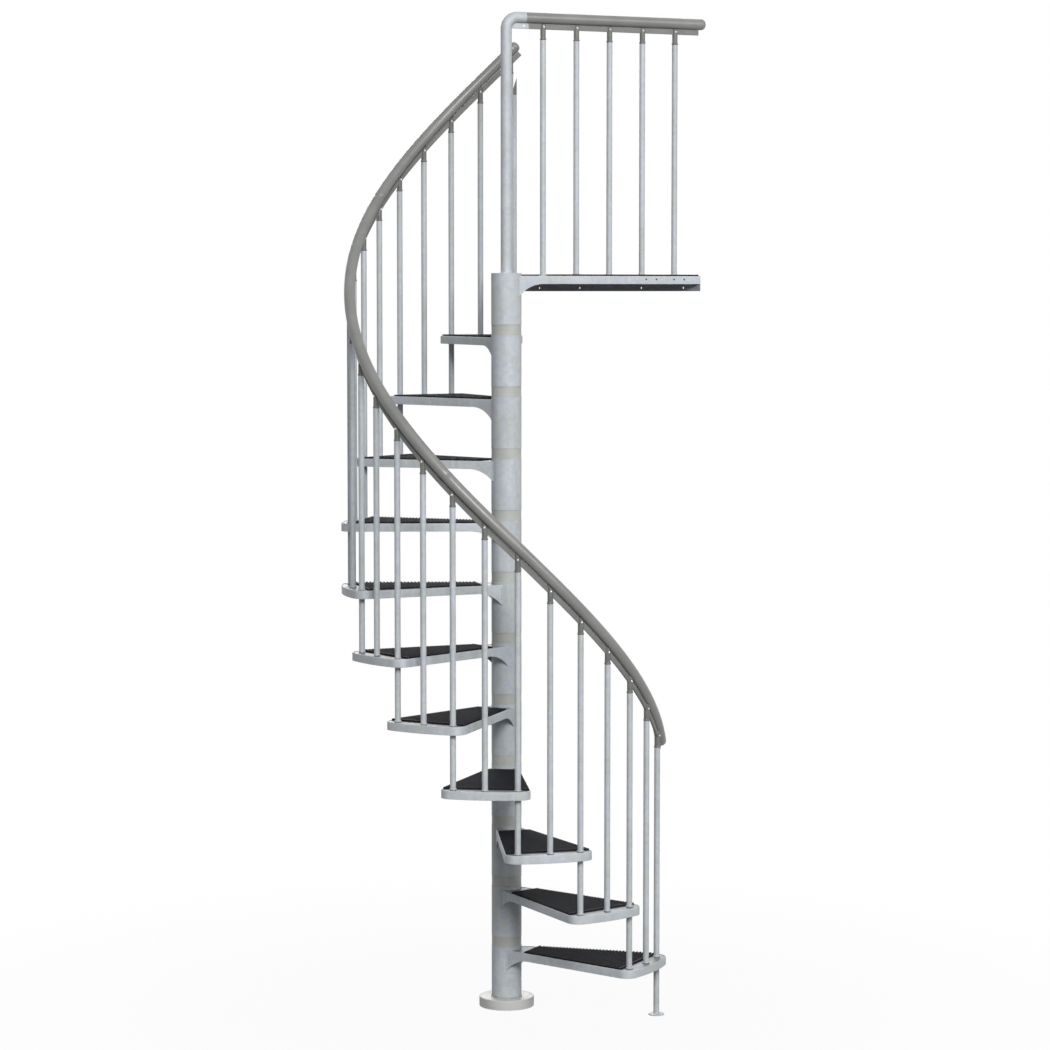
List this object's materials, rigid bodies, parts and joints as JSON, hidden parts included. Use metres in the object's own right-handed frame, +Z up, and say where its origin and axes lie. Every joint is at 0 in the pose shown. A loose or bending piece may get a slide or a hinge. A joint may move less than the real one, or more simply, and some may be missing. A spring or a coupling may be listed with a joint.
{
  "type": "spiral staircase",
  "caption": "Clockwise spiral staircase with a galvanised column, black ribbed treads, a helical handrail on thin balusters and a railed wedge landing.",
  "frame": {"origin": "on the floor, on the column's axis, at the underside of the floor plate", "axes": "+Z up along the column, +Y horizontal towards the upper floor that the landing bolts to; the stair climbs clockwise seen from above"},
  "size_m": [1.25, 1.3431, 3.7732],
  "materials": {
    "galvanised_steel": "hot-dip galvanised, satin with a faint spangle",
    "ribbed_board": "ribbed wood-plastic composite, matt",
    "spacer_plastic": "moulded plastic, satin",
    "cover_plastic": "moulded plastic, satin",
    "fitting_plastic": "moulded plastic, satin",
    "handrail_plastic": "extruded plastic, soft sheen",
    "rail_bar": "painted flat bar, satin"
  },
  "bodies": {
    "root": {"center_pole": "galvanised_steel", "floor_plate": "galvanised_steel", "foot_cover": "cover_plastic", "spacer_rings": "spacer_plastic", "tread_carrier_01": "galvanised_steel", "tread_carrier_02": "galvanised_steel", "tread_carrier_03": "galvanised_steel", "tread_carrier_04": "galvanised_steel", "tread_carrier_05": "galvanised_steel", "tread_carrier_06": "galvanised_steel", "tread_carrier_07": "galvanised_steel", "tread_carrier_08": "galvanised_steel", "tread_carrier_09": "galvanised_steel", "tread_carrier_10": "galvanised_steel", "tread_carrier_11": "galvanised_steel", "tread_board_01": "ribbed_board", "tread_board_02": "ribbed_board", "tread_board_03": "ribbed_board", "tread_board_04": "ribbed_board", "tread_board_05": "ribbed_board", "tread_board_06": "ribbed_board", "tread_board_07": "ribbed_board", "tread_board_08": "ribbed_board", "tread_board_09": "ribbed_board", "tread_board_10": "ribbed_board", "tread_board_11": "ribbed_board", "landing_carrier": "galvanised_steel", "exit_flange": "galvanised_steel", "landing_deck_boards": "ribbed_board", "column_cap": "galvanised_steel", "newel_post": "galvanised_steel", "newel_tab": "galvanised_steel", "landing_balusters": "galvanised_steel", "landing_fittings": "fitting_plastic", "corner_post": "galvanised_steel", "corner_post_plug": "fitting_plastic", "landing_handrail": "handrail_plastic", "landing_rail_bar": "rail_bar", "landing_rail_cap": "handrail_plastic", "stair_balusters": "galvanised_steel", "stair_fittings": "fitting_plastic", "baluster_foot": "galvanised_steel", "stair_handrail_1": "handrail_plastic", "stair_handrail_2": "handrail_plastic", "stair_handrail_3": "handrail_plastic", "stair_rail_bar": "rail_bar", "stair_rail_caps": "handrail_plastic"}
  },
  "joints": []
}
